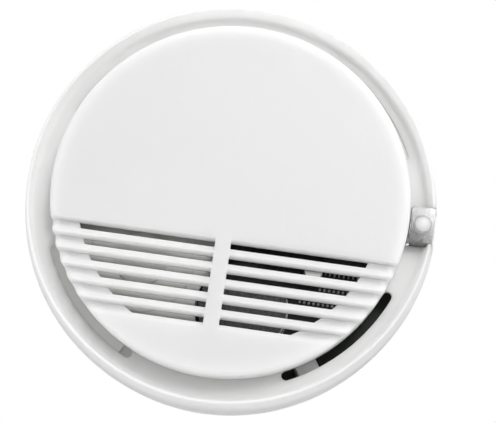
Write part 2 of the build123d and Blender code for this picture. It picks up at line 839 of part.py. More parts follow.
def piezo_plate():
    return at_horn(disc(piezo_plate_radius, piezo_z, ceramic_z))


def piezo_ceramic():
    return at_horn(disc(piezo_ceramic_radius, ceramic_z, ceramic_z + piezo_ceramic_thickness))


def horn_deck():
    """A deck around the horn, cut off beside the chamber and along a slant below it."""
    top_y = horn_y + horn_radius
    corner = (deck_right_x, top_y - deck_side)
    run, fall = polar(2 * horn_deck_radius, deck_slant)
    slant_end = (corner[0] - run, corner[1] - fall)
    outline = Polyline((deck_right_x, top_y), corner, slant_end, (slant_end[0], top_y), close=True)
    deck = make_face(outline) & Circle(horn_deck_radius)
    deck -= Pos(horn_x, horn_y) * Circle(horn_radius - horn_wall / 2)
    return Pos(0, 0, deck_z) * extrude(deck, deck_thickness)


def horn_housing():
    """A cup over the sounding plate, with a deck that closes this side of the alarm behind the grille."""
    step_z = ceramic_z + running_gap
    plate_room = piezo_plate_radius + running_gap
    points = [
        (plate_room, horn_base_z),
        (horn_radius, horn_base_z),
        (horn_radius, horn_top_z),
        (horn_step_radius, horn_top_z),
        (horn_step_radius, horn_top_z + horn_step_height),
        (0, horn_top_z + horn_step_height),
        (0, horn_top_z - horn_wall),
        (horn_radius - horn_wall - running_gap, horn_top_z - horn_wall),
        (horn_radius - horn_wall - running_gap, step_z),
        (plate_room, step_z),
    ]
    housing = turned(points, [(2, horn_wall / 2)])
    port_radius = horn_port_diameter / 2
    port_y = piezo_plate_radius - port_radius - horn_port_inset
    housing -= disc(port_radius, horn_top_z - 2 * horn_wall, horn_top_z + through, (0, port_y))
    housing = at_horn(housing) + horn_deck()
    hole_radius = wire_diameter / 2 + wire_clearance
    for row in horn_lead_rows:
        housing -= along_x(hole_radius, horn_x, deck_right_x + through, horn_y + row, horn_lead_z)
    return housing


def lead(points):
    """A wire of straight runs and tangent arcs."""
    path = FilletPolyline(*points, radius=wire_bend)
    start = Plane(path @ 0, z_dir=path % 0)
    return sweep(start * Circle(wire_diameter / 2), path)


def horn_leads():
    """One wire to the metal plate and one to the ceramic, both from the board."""
    seats = (ceramic_z, ceramic_z + piezo_ceramic_thickness)
    wires = []
    board_x = horn_x + horn_radius + horn_lead_reach
    rims = (piezo_plate_radius, piezo_ceramic_radius)
    for row, rim, inset, seat in zip(horn_lead_rows, rims, horn_lead_insets, seats):
        lead_y = horn_y + row
        end_x = horn_x + rim - inset
        points = [
            (board_x, lead_y, board_top_z),
            (board_x, lead_y, horn_lead_z),
            (end_x, lead_y, horn_lead_z),
            (end_x, lead_y, seat),
        ]
        wires.append(lead(points))
    return Compound(wires)


def battery_leads():
    wires = []
    for row, reach in zip(battery_lead_rows, battery_lead_reach):
        lead_y = bay_bottom_y + row
        column = bay_half + reach
        points = [
            (bay_half, lead_y, battery_lead_z),
            (column, lead_y, battery_lead_z),
            (column, battery_lead_end_y, battery_lead_z),
            (column, battery_lead_end_y, board_top_z),
        ]
        wires.append(lead(points))
    return Compound(wires)


def control_chip():
    """A flat package with a row of bent pins along each long side."""
    half_length, half_width = chip_length / 2, chip_width / 2
    chip_z = (chip_pin_width / 2, chip_height)
    chip = box((-half_length, half_length), (-half_width, half_width), chip_z)
    foot = half_width + chip_pin_reach
    knee = half_width + chip_pin_reach / 2
    thickness = chip_pin_width / 2
    shoulder = chip_height / 2
    profile = Polyline(
        (half_width - thickness, shoulder),
        (knee, shoulder),
        (knee, thickness / 2),
        (foot, thickness / 2),
    )
    section = Plane.YZ * trace(profile, thickness)
    pin = extrude(section, chip_pin_width / 2, both=True)
    for number in range(chip_pins_per_side):
        along = (number - (chip_pins_per_side - 1) / 2) * chip_pin_pitch
        placed = Pos(along, 0, 0) * pin
        chip += [placed, mirror(placed, Plane.XZ)]
    return Pos(chip_x, chip_y, board_top_z) * chip


def capacitor_cans():
    cans = []
    for x, y, diameter, height in capacitors:
        can = disc(diameter / 2, board_top_z, board_top_z + height, (x, y))
        can = fillet(can.edges().filter_by(GeomType.CIRCLE), diameter / 16)
        cans.append(can)
    return Compound(cans)


def horn_coil():
    """A drum core with its winding between two flanges."""
    radius = coil_diameter / 2
    points = [
        (0, 0),
        (radius, 0),
        (radius, coil_flange),
        (coil_core_diameter / 2, coil_flange),
        (coil_core_diameter / 2, coil_height - coil_flange),
        (radius, coil_height - coil_flange),
        (radius, coil_height),
        (0, coil_height),
    ]
    return Pos(coil_x, coil_y, board_top_z) * turned(points)


def resistors():
    parts = []
    middle_z = board_top_z + resistor_diameter / 2 + running_gap
    lead_radius = resistor_lead / 2
    body_x = (resistor_x - resistor_length / 2, resistor_x + resistor_length / 2)
    lead_x = (resistor_x - resistor_lead_span / 2, resistor_x + resistor_lead_span / 2)
    for inset in resistor_insets:
        row = inset - board_radius
        part = along_x(resistor_diameter / 2, *body_x, row, middle_z)
        part += along_x(lead_radius, *lead_x, row, middle_z)
        for end in lead_x:
            part += disc(lead_radius, board_top_z, middle_z, (end, row))
            part += Pos(end, row, middle_z) * Sphere(lead_radius)
        parts.append(part)
    return Compound(parts)


nodes = {
    "mounting_bracket": mounting_bracket(),
    "rear_housing": rear_housing(),
    "front_cover": front_cover(),
    "case_screws": case_screws(),
    "battery": battery(),
    "battery_terminals": battery_terminals(),
    "battery_contacts": battery_contacts(),
    "contact_carrier": contact_carrier(),
    "battery_leads": battery_leads(),
    "battery_door": battery_door(),
    "circuit_board": circuit_board(),
    "board_screws": board_screws(),
    "control_chip": control_chip(),
    "capacitors": capacitor_cans(),
    "resistors": resistors(),
    "horn_coil": horn_coil(),
    "chamber_base": chamber_base(),
    "chamber_cover": chamber_cover(),
    "insect_screen": insect_screen(),
    "infrared_emitter": optic_part(emitter_angle),
    "light_receiver": optic_part(receiver_angle),
    "horn_base": horn_base(),
    "horn_housing": horn_housing(),
    "piezo_plate": piezo_plate(),
    "piezo_ceramic": piezo_ceramic(),
    "horn_leads": horn_leads(),
    "test_button": test_button(),
    "status_lamp": status_lamp(),
    "lamp_spacer": lamp_spacer(),
    "test_contact": test_contact(),
    "contact_stud": contact_stud(),
}

os.makedirs("parts", exist_ok=True)
for name, shape in nodes.items():
    export_step(shape, f"parts/{name}.step")
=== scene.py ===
import math
import bmesh
import bpy
import numpy as np
from mathutils import Matrix, Vector


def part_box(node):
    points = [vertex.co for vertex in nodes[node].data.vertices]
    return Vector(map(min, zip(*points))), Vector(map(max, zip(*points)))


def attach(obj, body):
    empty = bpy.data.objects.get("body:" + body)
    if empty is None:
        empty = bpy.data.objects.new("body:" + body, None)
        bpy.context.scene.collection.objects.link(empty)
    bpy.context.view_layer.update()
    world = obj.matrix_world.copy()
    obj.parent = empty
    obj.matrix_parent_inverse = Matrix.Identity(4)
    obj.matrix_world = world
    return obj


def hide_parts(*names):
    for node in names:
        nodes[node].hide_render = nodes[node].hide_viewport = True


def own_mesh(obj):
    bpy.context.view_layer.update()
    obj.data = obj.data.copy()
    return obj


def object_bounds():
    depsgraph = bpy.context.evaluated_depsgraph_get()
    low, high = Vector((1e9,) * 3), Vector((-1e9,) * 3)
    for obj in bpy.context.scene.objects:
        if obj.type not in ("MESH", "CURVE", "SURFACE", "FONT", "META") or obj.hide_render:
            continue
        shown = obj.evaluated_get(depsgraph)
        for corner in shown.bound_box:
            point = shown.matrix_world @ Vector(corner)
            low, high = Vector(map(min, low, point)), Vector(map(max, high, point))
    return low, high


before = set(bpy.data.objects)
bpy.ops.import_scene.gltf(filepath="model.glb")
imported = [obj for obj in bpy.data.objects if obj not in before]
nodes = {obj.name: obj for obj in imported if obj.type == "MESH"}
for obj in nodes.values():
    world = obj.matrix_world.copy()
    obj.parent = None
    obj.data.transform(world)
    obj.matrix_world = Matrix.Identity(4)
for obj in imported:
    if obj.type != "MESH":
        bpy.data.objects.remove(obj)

cadBox = [list(corner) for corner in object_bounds()]
mm = 0.001
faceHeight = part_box("front_cover")[1].z
print("frame loaded,", len(nodes), "nodes")


def newGroup(name, inputs, outputs):
    # A node group with named sockets; gives back the group, its input node and its output node.
    group = bpy.data.node_groups.new(name, "ShaderNodeTree")
    for label, kind, value in inputs:
        socket = group.interface.new_socket(label, in_out="INPUT", socket_type=kind)
        socket.default_value = value
    for label, kind in outputs:
        group.interface.new_socket(label, in_out="OUTPUT", socket_type=kind)
    return group, group.nodes.new("NodeGroupInput"), group.nodes.new("NodeGroupOutput")


def newMaterial(name):
    # A node material; gives back the material, its node tree and its shader.
    material = bpy.data.materials.new(name)
    material.use_nodes = True
    return material, material.node_tree, material.node_tree.nodes["Principled BSDF"]


def mathNode(tree, operation, *values):
    # A math node fed by sockets and plain numbers; gives back its output.
    node = tree.nodes.new("ShaderNodeMath")
    node.operation = operation
    for socket, value in zip(node.inputs, values):
        if isinstance(value, bpy.types.NodeSocket):
            tree.links.new(value, socket)
        else:
            socket.default_value = value
    return node.outputs[0]


grain = {"fineDetail": 3.0, "slowScale": 28.0, "slowDetail": 2.0, "middle": 0.5}


def mouldedGrainGroup():
    # Fine spark grain plus slow unevenness: a height for bumps and a slight change of tone,
    # to which Speckle adds the fine grain.
    group, source, result = newGroup(
        "mouldedGrain",
        [("Scale", "NodeSocketFloat", 900.0), ("Tone", "NodeSocketFloat", 0.02),
         ("Speckle", "NodeSocketFloat", 0.0)],
        [("Height", "NodeSocketFloat"), ("Shade", "NodeSocketFloat")],
    )
    place = group.nodes.new("ShaderNodeTexCoord")
    fine = group.nodes.new("ShaderNodeTexNoise")
    fine.inputs["Detail"].default_value = grain["fineDetail"]
    slow = group.nodes.new("ShaderNodeTexNoise")
    slow.inputs["Scale"].default_value = grain["slowScale"]
    slow.inputs["Detail"].default_value = grain["slowDetail"]
    group.links.new(place.outputs["Object"], fine.inputs["Vector"])
    group.links.new(place.outputs["Object"], slow.inputs["Vector"])
    group.links.new(source.outputs["Scale"], fine.inputs["Scale"])
    uneven = mathNode(group, "SUBTRACT", slow.outputs["Fac"], grain["middle"])
    toned = mathNode(group, "MULTIPLY_ADD", uneven, source.outputs["Tone"], 1.0)
    spots = mathNode(group, "SUBTRACT", fine.outputs["Fac"], grain["middle"])
    shade = mathNode(group, "MULTIPLY_ADD", spots, source.outputs["Speckle"], toned)
    group.links.new(fine.outputs["Fac"], result.inputs["Height"])
    group.links.new(shade, result.inputs["Shade"])
    return group


grainGroup = mouldedGrainGroup()
plastic = {"ior": 1.5, "clearIor": 1.49, "specular": 0.3, "scatter": 0.0065, "relief": 0.0002}


def plasticMaterial(name, colour, roughness, scale, tone, bump, subsurface=0.0, speckle=0.0):
    # Moulded plastic: base colour shaded a little by slow noise, fine grain in the bump, and
    # light scattered below the surface where the subsurface is above 0.
    material, tree, shader = newMaterial(name)
    shader.inputs["Roughness"].default_value = roughness
    shader.inputs["IOR"].default_value = plastic["ior"]
    shader.inputs["Specular IOR Level"].default_value = plastic["specular"]
    shader.inputs["Subsurface Weight"].default_value = subsurface
    shader.inputs["Subsurface Radius"].default_value = (1.0, 1.0, 1.0)
    shader.inputs["Subsurface Scale"].default_value = plastic["scatter"]
    group = tree.nodes.new("ShaderNodeGroup")
    group.node_tree = grainGroup
    group.inputs["Scale"].default_value = scale
    group.inputs["Tone"].default_value = tone
    group.inputs["Speckle"].default_value = speckle
    tint = tree.nodes.new("ShaderNodeVectorMath")
    tint.operation = "SCALE"
    tint.inputs[0].default_value = colour
    tree.links.new(group.outputs["Shade"], tint.inputs["Scale"])
    tree.links.new(tint.outputs["Vector"], shader.inputs["Base Color"])
    relief = tree.nodes.new("ShaderNodeBump")
    relief.inputs["Strength"].default_value = bump
    relief.inputs["Distance"].default_value = plastic["relief"]
    tree.links.new(group.outputs["Height"], relief.inputs["Height"])
    tree.links.new(relief.outputs["Normal"], shader.inputs["Normal"])
    return material


metalGrain = (2500, 0.08, 0.05)


def metalMaterial(name, colour, roughness):
    # Bare metal: the plastics' shader with a fine grain of its own, made fully metallic.
    material = plasticMaterial(name, colour, roughness, *metalGrain)
    material.node_tree.nodes["Principled BSDF"].inputs["Metallic"].default_value = 1.0
    return material


def clearMaterial(name, colour, roughness, transmission):
    # Clear plastic, or hazy where the transmission is below 1.
    material, tree, shader = newMaterial(name)
    shader.inputs["Base Color"].default_value = (*colour, 1.0)
    shader.inputs["Roughness"].default_value = roughness
    shader.inputs["Transmission Weight"].default_value = transmission
    shader.inputs["IOR"].default_value = plastic["clearIor"]
    return material


def pinMaskGroup():
    # 1 beyond a reach from the chip's middle line, where its metal pins stand out of the resin.
    group, source, result = newGroup(
        "pinMask",
        [("Middle", "NodeSocketFloat", 0.0), ("Reach", "NodeSocketFloat", 0.01)],
        [("Mask", "NodeSocketFloat")],
    )
    place = group.nodes.new("ShaderNodeTexCoord")
    split = group.nodes.new("ShaderNodeSeparateXYZ")
    group.links.new(place.outputs["Object"], split.inputs["Vector"])
    offset = mathNode(group, "SUBTRACT", split.outputs["Y"], source.outputs["Middle"])
    distance = mathNode(group, "ABSOLUTE", offset)
    mask = mathNode(group, "GREATER_THAN", distance, source.outputs["Reach"])
    group.links.new(mask, result.inputs["Mask"])
    return group


chip = {"resin": ((0.02, 0.02, 0.022), 0.55, 2200, 0.2, 0.1), "pins": (0.75, 0.75, 0.73),
        "resinShare": 0.74}


def chipMaterial(name):
    # Dark resin with tinned pins along both long sides.
    material = plasticMaterial(name, *chip["resin"])
    tree = material.node_tree
    shader = tree.nodes["Principled BSDF"]
    chipLow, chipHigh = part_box("control_chip")
    mask = tree.nodes.new("ShaderNodeGroup")
    mask.node_tree = pinMaskGroup()
    mask.inputs["Middle"].default_value = (chipLow.y + chipHigh.y) / 2
    mask.inputs["Reach"].default_value = chip["resinShare"] * (chipHigh.y - chipLow.y) / 2
    tint = shader.inputs["Base Color"].links[0].from_socket
    mix = tree.nodes.new("ShaderNodeMix")
    mix.data_type = "RGBA"
    mix.inputs["B"].default_value = (*chip["pins"], 1.0)
    tree.links.new(mask.outputs["Mask"], mix.inputs["Factor"])
    tree.links.new(tint, mix.inputs["A"])
    tree.links.new(mix.outputs["Result"], shader.inputs["Base Color"])
    return material


# Colour, roughness, scale of the grain, tone, bump, and for some the subsurface and speckle.
plastics = {
    "whiteCover": ((0.94, 0.937, 0.93), 0.5, 1600, 0.01, 0.03, 1.0),
    "whiteHousing": ((0.92, 0.917, 0.91), 0.5, 1400, 0.02, 0.04, 1.0),
    "whiteBracket": ((0.79, 0.785, 0.77), 0.5, 1400, 0.02, 0.04),
    "whiteDoor": ((0.80, 0.795, 0.78), 0.48, 1400, 0.02, 0.04),
    "hornWhite": ((0.64, 0.638, 0.625), 0.5, 1400, 0.02, 0.03),
    "spacer": ((0.8, 0.8, 0.78), 0.5, 900, 0.02, 0.03),
    "darkBoard": ((0.014, 0.019, 0.014), 0.6, 700, 0.25, 0.05),
    "blackPlastic": ((0.018, 0.018, 0.019), 0.4, 900, 0.2, 0.06),
    "chamberBlack": ((0.012, 0.012, 0.013), 0.55, 900, 0.2, 0.08),
    # The chamber lid's grey below is painted light where light falls on the black lid through the
    # slots; the speckle is its mesh.
    "paintedLightGrey": ((0.16, 0.16, 0.158), 0.6, 2600, 0.1, 0.2, 0.0, 2.2),
    "receiverResin": ((0.01, 0.01, 0.012), 0.15, 900, 0.1, 0.02),
    "redLead": ((0.5, 0.02, 0.015), 0.45, 900, 0.05, 0.03),
    "blackLead": ((0.02, 0.02, 0.02), 0.45, 900, 0.05, 0.03),
    "jacket": ((0.05, 0.055, 0.06), 0.35, 600, 0.05, 0.02),
    "ferrite": ((0.03, 0.03, 0.032), 0.55, 900, 0.1, 0.05),
    "resistorBody": ((0.45, 0.33, 0.18), 0.5, 900, 0.08, 0.03),
    "ceramic": ((0.75, 0.74, 0.7), 0.5, 1500, 0.03, 0.05),
    "solder": ((0.8, 0.8, 0.78), 0.3, 2500, 0.08, 0.05),
}
# Colour and roughness.
metals = {
    "zincSteel": ((0.56, 0.57, 0.58), 0.35),
    "nickel": ((0.62, 0.6, 0.56), 0.25),
    "spring": ((0.6, 0.5, 0.34), 0.3),
    "can": ((0.42, 0.42, 0.41), 0.4),
    "screen": ((0.4, 0.4, 0.4), 0.4),
    "brass": ((0.75, 0.55, 0.25), 0.3),
}
# Colour, roughness and transmission.
clears = {
    "clearButton": ((0.66, 0.67, 0.66), 0.1, 0.85),
    "frostedLens": ((0.9, 0.905, 0.9), 0.35, 0.3),
    "lampResin": ((0.9, 0.9, 0.88), 0.15, 0.8),
    "emitterResin": ((0.5, 0.6, 0.8), 0.1, 1.0),
}
finishes = {"chipResin": chipMaterial("chipResin")}
for table, make in ((plastics, plasticMaterial), (metals, metalMaterial), (clears, clearMaterial)):
    for name, values in table.items():
        finishes[name] = make(name, *values)

wearing = {
    "front_cover": "whiteCover", "rear_housing": "whiteHousing", "mounting_bracket": "whiteBracket",
    "battery_door": "whiteDoor", "circuit_board": "darkBoard", "contact_carrier": "blackPlastic",
    "horn_housing": "hornWhite", "horn_base": "hornWhite", "chamber_base": "chamberBlack",
    "chamber_cover": "chamberBlack", "control_chip": "chipResin", "battery": "jacket",
    "horn_coil": "ferrite", "resistors": "resistorBody", "lamp_spacer": "spacer",
    "case_screws": "zincSteel", "board_screws": "zincSteel", "battery_terminals": "nickel",
    "battery_contacts": "nickel", "contact_stud": "nickel", "test_contact": "spring",
    "capacitors": "can", "insect_screen": "screen", "piezo_plate": "brass",
    "piezo_ceramic": "ceramic", "test_button": "clearButton", "status_lamp": "lampResin",
    "infrared_emitter": "emitterResin", "light_receiver": "receiverResin",
    "horn_leads": "blackLead", "battery_leads": "redLead",
}
for node, finish in wearing.items():
    mesh = nodes[node].data
    mesh.materials.clear()
    mesh.materials.append(finishes[finish])
print("materials set")


def smooth(value):
    # 0 below 0, 1 above 1, and an S-curve between them.
    value = np.clip(value, 0, 1)
    return value * value * (3 - 2 * value)


def halfChord(radius, y):
    # Half the width of a circle at a height: the root of radius squared minus height squared.
    return np.sqrt(np.maximum(radius ** 2 - y ** 2, 0))


meshing = {"sharpAngle": 40.0, "weld": 2e-6}


def buildMesh(name, points, faces, material):
    # Welds the points, drops collapsed faces, turns normals outwards and keeps sharp edges crisp.
    mesh = bpy.data.meshes.new(name)
    mesh.from_pydata(points, [], faces.tolist())
    work = bmesh.new()
    work.from_mesh(mesh)
    bmesh.ops.remove_doubles(work, verts=work.verts, dist=meshing["weld"])
    bmesh.ops.dissolve_degenerate(work, edges=work.edges, dist=meshing["weld"] / 4)
    bmesh.ops.recalc_face_normals(work, faces=work.faces)
    work.to_mesh(mesh)
    work.free()
    mesh.shade_smooth()
    mesh.set_sharp_from_angle(angle=math.radians(meshing["sharpAngle"]))
    mesh.materials.append(material)
    piece = bpy.data.objects.new(name, mesh)
    bpy.context.scene.collection.objects.link(piece)
    return piece


def shellFaces(rows, columns, keep, offset, closedRows, wraps):
    # Faces of a shell whose outer and inner grids share one layout. Kept cells give an outer
    # and an inner face, and each edge between a kept and a left-out cell gives a wall.
    count = rows * columns
    cells = columns if wraps else columns - 1
    i, j = np.nonzero(keep)
    k = (j + 1) % columns
    a, b = i * columns + j, i * columns + k
    c, d = (i + 1) * columns + k, (i + 1) * columns + j
    faces = [np.stack((a, b, c, d), 1), np.stack((d, c, b, a), 1) + count]
    padded = np.zeros((rows + 1, cells), bool)
    padded[1:rows] = keep
    edges = padded[1:] != padded[:-1]
    for row, closed in ((0, closedRows[0]), (rows - 1, closedRows[1])):
        edges[row] &= closed
    i, j = np.nonzero(edges)
    a, b = i * columns + j, i * columns + (j + 1) % columns
    faces.append(np.stack((a, b, b + count, a + count), 1))
    if wraps:
        i, j = np.nonzero(keep != np.roll(keep, 1, 1))
    else:
        i, j = np.nonzero(keep[:, 1:] != keep[:, :-1])
        j = j + 1
    a, b = i * columns + j, (i + 1) * columns + j
    faces.append(np.stack((a, b, b + count, a + count), 1))
    return np.vstack(faces) + offset


def tubeFaces(rows, sides, capped):
    # Quads round a section swept through the rows. Two end faces close a four-sided tube.
    i, j = np.divmod(np.arange((rows - 1) * sides), sides)
    k = (j + 1) % sides
    faces = np.stack((i * sides + j, i * sides + k, (i + 1) * sides + k, (i + 1) * sides + j), 1)
    if not capped:
        return faces
    last = rows * sides
    return np.vstack((faces, (3, 2, 1, 0), (last - 4, last - 3, last - 2, last - 1)))


def sweptPoints(angle, away, height, middle=(0.0, 0.0)):
    # A section swept round the middle: a row of distances and heights for each angle.
    return np.stack((
        middle[0] + away * np.cos(angle)[:, None],
        middle[1] + away * np.sin(angle)[:, None],
        height,
    ), 2).reshape(-1, 3)


def turnedPoints(reach, height, segments):
    # Rings of points about the vertical axis, one for each pair of radius and height.
    angle = np.linspace(0, 2 * math.pi, segments, endpoint=False)
    return np.stack((
        np.outer(reach, np.cos(angle)),
        np.outer(reach, np.sin(angle)),
        np.repeat(height[:, None], segments, 1),
    ), 2).reshape(-1, 3)


# Millimetres. Drops count down from the disc face, radii and places out from the axis, and a
# zone is its start and its width.
cover = {
    "discRadius": 47.4,
    "discEdge": 1.3,
    "discWall": 2.2,
    "wall": 2.0,
    "floorDrop": 9.3,
    "creaseRadius": 53.1,
    "lipInner": 53.4,
    "lipOuter": 54.3,
    "lipDrop": 4.0,
    "widest": 55.87,
    "widestDrop": 15.0,
    "rearRadius": 55.5,
    "depth": 25.0,
    "louvreRows": 6,
    "firstRow": -13.65,
    "pitch": 4.0,
    "slotHeight": 1.6,
    "slotRadius": 40.1,
    "barHalf": 2.025,
    "barFade": 0.3,
    "waveDepth": 1.25,
    "crestLead": 0.9,
    "edgeDepth": 0.9,
    "edgeZone": (45.2, 2.2),
    "slotSoft": (0.1, 0.14),
    "scallop": 0.28,
    "scallopZone": (43.5, 3.9),
    "scallopFade": 1.5,
    "tuckStart": 1.9,
    "ventWidth": 2.5,
    "ventAngles": (22.0, 66.0),
    "ventEndSpan": 0.065,
    "notchHalf": 5.0,
    "notchInner": 47.75,
    "notchDrop": 14.4,
    "notchZone": (6, 12),
}
discGrid = {
    "linesAbove": 72,
    "linesBelow": 30,
    "fallLines": (0.0, 0.15, 0.3, 0.45, 0.6),
    "riseLines": (0.3, 0.5, 0.75, 1.0, 1.25, 1.45),
    "lineGap": 0.25,
    "poleZone": 0.3,
    "barStep": 0.15,
    "slotColumns": 12,
    "rimColumns": 16,
    "openShares": (0.06, 0.01, 0.7),
}


def waveShare(y):
    # The louvre wave as a share of its depth. Each pitch falls in a short S from its crest to
    # the top of the slot, then rises in a long S, through the slot, to the next crest.
    along = cover["firstRow"] + cover["slotHeight"] / 2 + cover["crestLead"] - y
    phase = np.mod(along, cover["pitch"])
    fall = smooth(phase / cover["crestLead"])
    rise = 1 - smooth((phase - cover["crestLead"]) / (cover["pitch"] - cover["crestLead"]))
    inside = (along > 0) & (along < cover["louvreRows"] * cover["pitch"])
    return np.where(inside, np.where(phase < cover["crestLead"], fall, rise), 0.0)


def slotOffset(y):
    # Height above the middle of the nearest slot row.
    half = cover["pitch"] / 2
    return half - np.mod(cover["firstRow"] - y + half, cover["pitch"])


def waveDrop(x, y):
    # The wave below the disc face: deeper at the disc's rim, with softened slot edges.
    softDepth, softWidth = cover["slotSoft"]
    edgeStart, edgeWidth = cover["edgeZone"]
    beyond = np.abs(slotOffset(y)) - cover["slotHeight"] / 2
    soft = softDepth * np.clip(1 - beyond / softWidth, 0, 1)
    outwards = smooth((np.hypot(x, y) - edgeStart) / edgeWidth)
    depth = cover["waveDepth"] + cover["edgeDepth"] * outwards
    beside = smooth((np.abs(x) - cover["barHalf"]) / cover["barFade"])
    share = waveShare(y)
    return (share * depth + np.where(share > 0, soft, 0.0)) * beside


def ventEnds():
    # Angles of the centres of a vent's two round ends, counted from the nearer X axis.
    half = cover["ventWidth"] / 2
    tip = math.asin(half / (cover["discRadius"] + half))
    start, end = (math.radians(angle) for angle in cover["ventAngles"])
    return start + tip, end - tip


def discLines():
    # Heights of the disc's grid lines, from its lowest to its highest point: close together
    # across the louvres, and spaced by equal angles elsewhere. The ends of the vents and of the
    # button's notch have lines of their own, and others too close to them are left out.
    radius, half = cover["discRadius"], cover["slotHeight"] / 2
    crest, soft = half + cover["crestLead"], cover["slotSoft"][1]
    offsets = [crest - step for step in discGrid["fallLines"]]
    offsets += [half + soft, half, 0.0, -half, -half - soft]
    offsets += [-half - step for step in discGrid["riseLines"]]
    rows = [cover["firstRow"] - cover["pitch"] * n for n in range(cover["louvreRows"])]
    zone = [row + offset for row in rows for offset in offsets]
    zone.append(rows[-1] + crest - cover["pitch"])
    top, bottom = math.asin(max(zone) / radius), math.asin(min(zone) / radius)
    upper = radius * np.sin(np.linspace(top, math.pi / 2, discGrid["linesAbove"]))[1:]
    lower = radius * np.sin(np.linspace(-math.pi / 2, bottom, discGrid["linesBelow"]))[:-1]
    needed = [side * radius * math.sin(end) for end in ventEnds() for side in (-1, 1)]
    needed += [-cover["notchHalf"], cover["notchHalf"]]
    free = [y for y in (*lower, *upper)
            if min(abs(y - n) for n in needed) > discGrid["lineGap"]
            or abs(y) > radius - discGrid["poleZone"]]
    lines = np.array(sorted({round(y, 6) for y in (*free, *zone, *needed)}))
    return lines, min(zone), max(zone)


def discColumns(lines, zoneLow, zoneHigh):
    # Each line's points from the left rim to the right rim: in the louvre zone they stop at the
    # slot ends and at the middle bar, and elsewhere they keep fixed shares of the line.
    barShare, stepShare, slotShare = discGrid["openShares"]
    reach = halfChord(cover["discRadius"], lines)
    inZone = (lines > zoneLow - 1e-4) & (lines < zoneHigh + 1e-4)
    slotEnd = np.where(inZone, halfChord(cover["slotRadius"], lines), slotShare * reach)
    bar = np.where(inZone, cover["barHalf"], barShare * reach)
    step = np.where(inZone, discGrid["barStep"], stepShare * reach)
    inner = [bar * share for share in (0.0, 0.5, 1.0)] + [bar + step, bar + 2 * step]
    start = inner[-1]
    slotShares = np.linspace(0, 1, discGrid["slotColumns"] + 1)[1:]
    rimShares = np.sin(np.linspace(0, 1, discGrid["rimColumns"] + 1)[1:] * math.pi / 2)
    slot = [start + (slotEnd - start) * share for share in slotShares]
    rim = [slotEnd + (reach - slotEnd) * share for share in rimShares]
    right = np.stack(inner + slot + rim, 1)
    return np.hstack((-right[:, :0:-1], right)), len(inner)


def discGrids():
    # The disc's face and underside on one layout, the cells that have plastic, and the depth of
    # the face along its left and right rim. The edge rounds off as a quarter circle.
    lines, zoneLow, zoneHigh = discLines()
    x, barColumns = discColumns(lines, zoneLow, zoneHigh)
    y = np.repeat(lines[:, None], x.shape[1], 1)
    rim, edge = cover["discRadius"], cover["discEdge"]
    radius = np.hypot(x, y)
    into = np.clip((radius - rim + edge) / edge, 0, 1)
    face = -edge * (1 - np.sqrt(1 - into ** 2)) - waveDrop(x, y)
    zoneStart, zoneWidth = cover["scallopZone"]
    inwards = cover["scallop"] * waveShare(y) * smooth((radius - zoneStart) / zoneWidth)
    shrink = 1 - inwards / np.maximum(radius, 1e-6)
    bend = cover["slotRadius"] + cover["tuckStart"]
    narrowed = bend + (radius - bend) * (rim - cover["wall"] - bend) / (rim - bend)
    tucked = np.where(radius > bend, narrowed, radius)
    tuck = tucked / np.maximum(radius, 1e-6)
    top = np.stack((x * shrink, y * shrink, face), 2)
    under = np.stack((x * tuck, y * tuck, np.full_like(x, -cover["discWall"])), 2)
    middle = (lines[1:] + lines[:-1]) / 2
    inSlot = np.abs(slotOffset(middle)) < cover["slotHeight"] / 2
    inSlot &= (middle > zoneLow) & (middle < zoneHigh)
    keep = np.ones((len(lines) - 1, x.shape[1] - 1), bool)
    centre, width = (x.shape[1] - 1) // 2, discGrid["slotColumns"] + 2
    for start in (centre + barColumns - 3, centre - barColumns + 3 - width):
        keep[np.ix_(inSlot, np.arange(start, start + width))] = False
    return lines, top, under, keep, -face[:, (0, -1)]


ringShape = {
    "wallShares": (0.2, 0.4, 0.6, 0.8, 0.92),
    "ventShares": (-0.92, -0.72, -0.44, 0.0, 0.44, 0.72, 0.92, 1.0),
    "floorPlaces": (50.6, 51.3, 51.8),
    "creaseRound": (1.3, 1.5, 9),
    "lipFoot": (0.12, 2.4),
    "lipNeck": (0.03, 1.2),
    "lipPoints": 13,
    "bellyDrops": (5.6, 7.0, 8.6, 10.2, 11.3, 12.4, 13.4),
    "bellyPower": 1.15,
    "underSlope": 0.05,
    "skirtDrops": (15.4, 16.6, 18.0, 19.6, 21.2, 22.8, 24.2),
    "skirtPower": 1.6,
}


def lipPoints():
    # Outer (radius, drop) points from the groove floor to the outside of the lip: a rounded
    # crease, the lip's drafted inner side and its half-round crest.
    floor, crest = cover["floorDrop"], cover["lipDrop"]
    turn, sweep, count = ringShape["creaseRound"]
    footStep, footRise = ringShape["lipFoot"]
    neckStep, neckDrop = ringShape["lipNeck"]
    half = (cover["lipOuter"] - cover["lipInner"]) / 2
    outer = [(place, floor) for place in ringShape["floorPlaces"]]
    outer += [(cover["creaseRadius"] - turn + turn * math.sin(a), floor - turn + turn * math.cos(a))
              for a in np.linspace(0, sweep, count)]
    outer.append((cover["lipInner"] - footStep, floor - footRise))
    outer.append((cover["lipInner"] - neckStep, crest + neckDrop))
    outer += [(cover["lipInner"] + half - half * math.cos(a), crest + half - half * math.sin(a))
              for a in np.linspace(0, math.pi, ringShape["lipPoints"])]
    return outer


